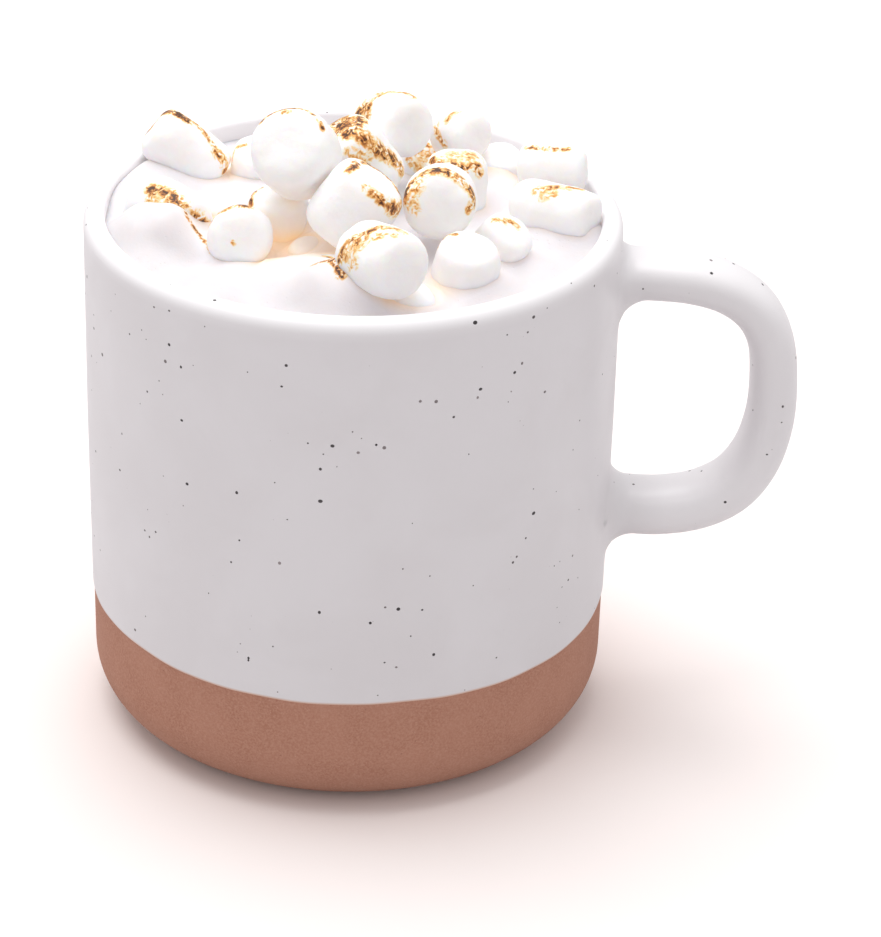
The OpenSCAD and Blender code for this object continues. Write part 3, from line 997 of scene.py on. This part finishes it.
# Marks of the flame: piece, path on its skin, half width in millimetres, heat. A point of a
# path is a place along the outline and a turn round the axis in degrees. Along the outline,
# 0 is half way up the side, 1 and -1 are the rims, and 2 and -2 are the middles of the ends.
FLAME_MARKS = [
    (1, [(1.3, 132), (1.3, 105), (1.3, 75), (1.3, 25), (1.0, -3), (0.6, -2)], 1.2, 1.5),
    (1, [(0.6, 8), (0.1, 0), (-0.3, -14), (-0.75, -25), (-1.05, -34)], 0.7, 0.95),
    (1, [(-0.6, -24), (-1.15, -38)], 1.1, 1.0),
    (2, [(0.5, -85), (0.9, -95), (1.3, -103)], 0.6, 0.7),
    (3, [(0.9, 62), (0.88, 12), (0.86, -20), (0.92, -55)], 0.5, 1.2),
    (3, [(1.08, 20), (1.08, 10)], 0.5, 1.1),
    (4, [(1.8, 0), (1.25, 70)], 2.0, 1.2),
    (4, [(1.25, -50), (1.1, 0)], 1.6, 1.25),
    (4, [(0.85, -45), (0.2, -40), (-0.4, -28), (-0.8, -26)], 1.5, 0.95),
    (4, [(0.85, -78), (0.3, -66)], 1.0, 0.75),
    (5, [(-0.75, 88), (-0.4, 55)], 1.5, 1.1),
    (5, [(0.0, 72), (-0.2, 45)], 1.2, 0.9),
    (5, [(-0.2, 30), (0.0, 5), (0.5, -8), (0.8, -16)], 0.9, 0.9),
    (6, [(-0.4, 60), (-0.1, 90), (0.1, 100)], 0.9, 0.75),
    (6, [(0.2, 45), (0.4, 20)], 0.8, 0.8),
    (7, [(1.9, 0), (1.5, 80)], 2.2, 0.7),
    (7, [(1.0, 120), (1.0, 60)], 0.9, 0.7),
    (8, [(1.3, -30), (1.9, 0), (1.4, 60)], 2.2, 0.66),
    (8, [(1.0, -70), (1.0, -15), (1.0, 20), (0.95, 45), (0.8, 50)], 1.0, 1.05),
    (9, [(0.75, 85), (0.75, 45), (0.75, 10), (0.8, -30), (0.75, -60), (0.75, -82)], 1.2, 1.15),
    (9, [(1.2, 95), (1.1, 70), (1.05, 45)], 1.3, 0.75),
    (9, [(0.9, -75), (1.0, -95)], 0.8, 0.75),
    (10, [(0.97, 24), (1.2, 12), (1.3, -35), (1.22, -88), (1.2, -133), (1.12, -160),
          (0.97, -182)], 0.7, 1.2),
    (10, [(1.0, 70), (0.95, 100), (0.9, 138), (0.95, 172)], 0.9, 0.95),
    (10, [(0.9, 125), (0.8, 150)], 1.5, 0.85),
    (11, [(-0.6, 85), (-0.4, 55), (-0.1, 30), (0.1, 5), (0.4, -10), (0.75, -16)], 0.9, 0.95),
    (11, [(-0.3, 70), (0.15, 40)], 1.5, 0.72),
    (11, [(-0.2, 88), (0.2, 78)], 1.1, 0.62),
    (11, [(0.4, 25), (0.8, 5)], 1.0, 0.65),
    (12, [(-0.5, 67), (0.0, 54), (0.74, 34), (0.87, 5), (0.86, -20)], 0.75, 1.2),
    (12, [(1.5, 130), (1.5, 120)], 0.4, 0.7),
    (13, [(0.2, -24), (-0.3, -15), (-0.8, -15)], 1.5, 1.05),
    (13, [(0.0, -38), (-0.5, -36), (-0.9, -30)], 1.3, 0.8),
    (13, [(-1.0, -10), (-1.4, -5), (-1.6, 60), (-1.3, 110)], 1.5, 1.0),
    (15, [(0.6, -62), (0.9, -70), (1.05, -95), (1.1, -125)], 0.8, 1.25),
    (16, [(1.3, 160), (1.3, 120)], 0.5, 1.1),
    (17, [(0.2, 0), (0.64, 14), (0.87, 40), (1.0, 68), (0.95, 95)], 1.1, 1.15),
    (19, [(0.8, -100), (1.0, -120), (1.2, -135)], 0.6, 1.2),
    (20, [(1.0, 25), (1.5, 10), (1.7, -80)], 0.8, 0.7),
    (22, [(-0.9, 12), (-0.4, 20), (0.1, 20), (0.5, 15)], 0.6, 0.95),
    (23, [(-0.3, 30), (0.0, 12), (0.3, 0), (0.65, -15)], 1.1, 0.78),
    (23, [(-0.1, 42), (0.2, 28)], 0.9, 0.65)]
SKIN_POWER = 4.9
CLEFT_REACH = 2.3
PATH_STEPS = 6


def froth_level(x, y):
    away = np.minimum(np.hypot(x, y) / FROTH_RISE_R, 1.0)
    return FROTH_EDGE_Z + FROTH_RISE * (0.5 + 0.5 * np.cos(math.pi * away))


def nearness(points, sweet, reach):
    """1 on the skin of a marshmallow and inside it, and less and less further away."""
    return np.exp(-np.maximum(sweet_distance(points, sweet), 0.0) / reach)


def hidden(points, skip=None):
    """How hidden each point is: the nearness of all marshmallows, added up."""
    total = np.zeros(len(points))
    for name, sweet in SWEETS.items():
        if name != skip:
            total += nearness(points, sweet, CLEFT_REACH)
    return total


def step(values, low, high):
    share = np.clip((values - low) / (high - low), 0.0, 1.0)
    return share * share * (3 - 2 * share)


def side_frame(sweet):
    """Two directions across the axis: the first looks up, or to the front on an upright piece."""
    axis = sweet["axis"]
    wanted = np.array([0.0, 0.0, 1.0]) if abs(axis[2]) < 0.93 else np.array([0.0, -1.0, 0.0])
    first = wanted - axis * (wanted @ axis)
    first /= np.linalg.norm(first)
    return first, np.cross(axis, first)


def skin_point(sweet, place, turn):
    """A point on the skin, from its place along the outline and its turn round the axis."""
    first, second = side_frame(sweet)
    corner = 2 ** (-1 / SKIN_POWER)
    if abs(place) <= 1:
        along = abs(place) * corner
        out = (1 - along ** SKIN_POWER) ** (1 / SKIN_POWER)
    else:
        out = (2 - abs(place)) * corner
        along = (1 - out ** SKIN_POWER) ** (1 / SKIN_POWER)
    around = first * math.cos(math.radians(turn)) + second * math.sin(math.radians(turn))
    return (sweet["middle"] + sweet["axis"] * math.copysign(along, place) * sweet["length"] / 2
            + around * out * sweet["diameter"] / 2)


def distance_to_path(points, path):
    best = np.full(len(points), 99.0)
    for a, b in zip(path[:-1], path[1:]):
        run = b - a
        share = np.clip((points - a) @ run / max(run @ run, 1e-9), 0.0, 1.0)
        best = np.minimum(best, np.linalg.norm(points - a - np.outer(share, run), axis=1))
    return best


def walk(corners):
    """Small steps along a path, from corner to corner."""
    for first, last in zip(corners[:-1], corners[1:]):
        for share in np.linspace(0, 1, PATH_STEPS):
            yield [a + (b - a) * share for a, b in zip(first, last)]


def heat_near(points, path, half_width, strength):
    """Heat of one mark at each point: full along its path, fading out at its sides."""
    away = distance_to_path(points, path)
    return strength * (1 - step(away, 0.3 * half_width, 1.7 * half_width))


def toast_of(points, sweet, number):
    """The most heat that any mark brought to each point."""
    heat = np.zeros(len(points))
    for piece, corners, half_width, strength in FLAME_MARKS:
        if piece == number:
            path = [skin_point(sweet, place, turned) for place, turned in walk(corners)]
            heat = np.maximum(heat, heat_near(points, path, half_width, strength))
    return heat


for name, made in sweet_objects.items():
    mesh = made.data
    points = np.array([v.co for v in mesh.vertices]) / MM
    sweet = SWEETS[name]
    near = hidden(points, skip=name)
    depth = froth_level(points[:, 0], points[:, 1]) - points[:, 2]
    near += 0.8 * np.exp(-np.maximum(-depth, 0.0) / 1.8)
    # Where painted shade and a painted glow go on this piece.
    keep_values(mesh, "cleft_shade", near)
    keep_values(mesh, "toast", toast_of(points, sweet, int(name[-2:])))
    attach(made, "root")
    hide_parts(name)
print("marshmallows:", len(sweet_objects))

# %% [markdown]
# The froth is one soft skin over the drink. Its height is a sum of simple parts: the rise
# towards the middle, three swells, soft folds, and a small rim of froth that climbs each
# marshmallow. Mounds lie over pieces that have melted, and two marks of the torch lie on
# them. Near the wall the froth is held below the lip. It is built as rings, and it reaches
# a little into the wall so that no gap shows. Below, it follows the inside of the cup.

# %% Height of the froth
FROTH_R = CUP_R - WALL + 0.25
BELOW_LIP = 1.7  # at the wall, the froth stays this far below the lip
WALL_SLOPE = 1.2
RIM_HEIGHT = 1.3  # how far froth climbs a marshmallow
RIM_REACH = 1.3
NO_SWELL = -50.0  # far below everything
# Swells: middle on plan, radius of the ball they are cut from, height.
SWELLS = [((-21, -25), 20.0, 2.0), ((-33, -13), 16.0, 2.0), ((-2, 31), 24.0, 2.0)]

# Mounds and hollows of the froth: middle on plan, radius, height above the level around.
MOUNDS = [((-34.0, -8.5), 7.5, 5.2), ((-28.0, -11.5), 5.0, 2.2), ((-8.0, -26.5), 7.5, 2.9),
          ((-10.5, -12.5), 5.5, -1.7), ((23.0, 13.0), 6.5, 2.8), ((20.0, -24.0), 6.0, 1.0),
          ((-36.0, 12.0), 9.0, 3.4), ((5.5, -28.0), 4.0, -1.2), ((-2.5, -31.5), 6.5, 4.6),
          ((36.0, 0.0), 7.0, 1.5)]

# Marks of the flame on the froth: a path on plan, half width and heat.
FROTH_MARKS = [([(-6.2, -28.5), (-4.6, -28.8), (-3.2, -29.6), (-2.3, -31.2), (-1.9, -32.6)],
                0.8, 1.3),
               ([(-27.6, -8.6), (-25.6, -10.8), (-23.2, -14.6)], 0.5, 1.1)]


def soft_high(a, b, blend):
    """The higher of two surfaces, with the crease between them filled."""
    gap = np.maximum(blend - np.abs(a - b), 0.0) / blend
    return np.maximum(a, b) + gap * gap * blend * 0.25


def folds(x, y):
    """Slow soft folds, from a few waves that bend each other."""
    u = x + 2.2 * np.sin(y / 5.3 + 0.8) + 1.2 * np.sin(x / 3.9)
    v = y + 2.0 * np.sin(x / 6.1 + 2.0)
    return (0.34 * np.sin(u / 4.4 + 0.5) * np.sin(v / 5.7 + 1.1)
            + 0.20 * np.sin(u / 2.7 + v / 3.9) + 0.10 * np.sin(v / 1.9 + 0.6 * u / 2.2))


def froth_height(x, y):
    z = froth_level(x, y)
    for (mx, my), wide, height in MOUNDS:
        z = z + height * np.exp(-(np.hypot(x - mx, y - my) / wide) ** 3)
    for (mx, my), ball, height in SWELLS:
        top = froth_level(np.array(float(mx)), np.array(float(my))) + height
        away = np.hypot(x - mx, y - my)
        round_top = top - ball + np.sqrt(np.maximum(ball ** 2 - away ** 2, 0))
        z = soft_high(z, np.where(away < ball, round_top, NO_SWELL), 1.6)
    radii = np.hypot(x, y)
    z = z + folds(x, y) * (0.25 + 0.75 * step(radii, 41.4, 37.5))
    highest = LIP_Z - BELOW_LIP + WALL_SLOPE * (FROTH_R - radii)
    z = -soft_high(-z, -highest, 1.5)
    level = np.stack([x, y, z], axis=1)
    climb = np.max([nearness(level, sweet, RIM_REACH) for sweet in SWEETS.values()], axis=0)
    return z + RIM_HEIGHT * climb


# %% Build the froth
ring_radii = np.concatenate([np.linspace(FROTH_R, 36.0, 18), np.linspace(36.0, 0.6, 112)[1:]])
froth_angles = np.linspace(0, 2 * math.pi, 380, endpoint=False)
rx = np.outer(ring_radii, np.cos(froth_angles)).ravel()
ry = np.outer(ring_radii, np.sin(froth_angles)).ravel()
rz = froth_height(rx, ry)
top = np.stack([rx, ry, rz], axis=1).reshape(len(ring_radii), len(froth_angles), 3)
SUNK = 0.1  # the drink reaches this far into the floor of the cup
lower = [(12.0, FLOOR_Z - SUNK), (22.0, FLOOR_Z - SUNK)]
lower += [(r + 0.15, z - SUNK) for r, z in arc(CUP_R - WALL - INNER_ROUND, FLOOR_Z + INNER_ROUND,
                                              INNER_ROUND, -90, 0, 8)]
lower += [(FROTH_R, z) for z in np.linspace(FLOOR_Z + INNER_ROUND + 2, 87.5, 12)]
under = [np.stack([r * np.cos(froth_angles), r * np.sin(froth_angles),
                   np.full(len(froth_angles), z)], axis=1) for r, z in lower]
froth_mesh = ring_mesh("froth", under + list(top), (0, 0, FLOOR_Z - SUNK))
face_out(froth_mesh)
froth_points = np.array([v.co for v in froth_mesh.vertices]) / MM
# Where painted shade and a painted glow go on the froth.
keep_values(froth_mesh, "cleft_shade", hidden(froth_points))
froth_heat = np.zeros(len(froth_points))
for corners, half_width, strength in FROTH_MARKS:
    x, y = np.array(list(walk(corners))).T
    path = np.stack([x, y, froth_height(x, y)], axis=1)
    froth_heat = np.maximum(froth_heat, heat_near(froth_points, path, half_width, strength))
keep_values(froth_mesh, "toast", froth_heat)
froth = add_object("milk_froth", froth_mesh, [FROTH])
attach(froth, "root")
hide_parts("hot_chocolate")
print("froth faces:", len(froth_mesh.polygons))

# %% [markdown]
# The stage is a wide pale floor and plain soft studio light. One large soft box hangs above
# and a little behind, and the pale world fills the sides. The floor is bright enough to go
# white away from the mug, with a soft warm shadow at its foot. It throws back less light than
# it shows, as a small sheet of paper on a darker table does, so the side of the mug stays grey.

# %% Floor
def make_floor_finish():
    material, tree, shader, place = new_material("pale_floor")
    tone = tone_of(tree, place, 260.0, (0.94, 0.875, 0.855), (0.93, 0.865, 0.845))
    seen = put(tree, "ShaderNodeLightPath").outputs["Is Camera Ray"]
    lit = mix_colours(tree, seen, colour(0.66, 0.63, 0.635), tone.outputs["Color"])
    fill(tree, shader, {"Base Color": lit, "Roughness": 0.9, "Specular IOR Level": 0.1})
    return material


floor_mesh = bpy.data.meshes.new("floor")
HALF_FLOOR = 4.0
FLOOR_TOP = -0.05 * MM  # just under the foot, so that the two never share a plane
floor_mesh.from_pydata([(x * HALF_FLOOR, y * HALF_FLOOR, FLOOR_TOP)
                        for x, y in ((-1, -1), (1, -1), (1, 1), (-1, 1))], [], [(0, 1, 2, 3)])
floor = add_object("floor", floor_mesh, [make_floor_finish()])


# %% Light
def add_soft_box(name, place, target, side, power):
    light = bpy.data.lights.new(name, "AREA")
    light.shape = "SQUARE"
    light.size = side
    light.energy = power
    made = bpy.data.objects.new(name, light)
    made.location = place
    toward = Vector(target) - Vector(place)
    made.rotation_euler = toward.to_track_quat("-Z", "Y").to_euler()
    bpy.context.scene.collection.objects.link(made)


add_soft_box("soft_box_above", (-0.15, 0.25, 1.1), (0, 0, 0.05), 1.1, 11.0)

world = bpy.data.worlds.new("pale_studio")
bpy.context.scene.world = world
world.use_nodes = True
sky = world.node_tree.nodes["Background"]
fill(world.node_tree, sky, {"Color": colour(1.0, 0.99, 0.995), "Strength": 0.78})
view = bpy.context.scene.view_settings
view.view_transform = "Standard"
view.look = "None"
view.exposure = 0.0
print("world strength:", sky.inputs["Strength"].default_value)
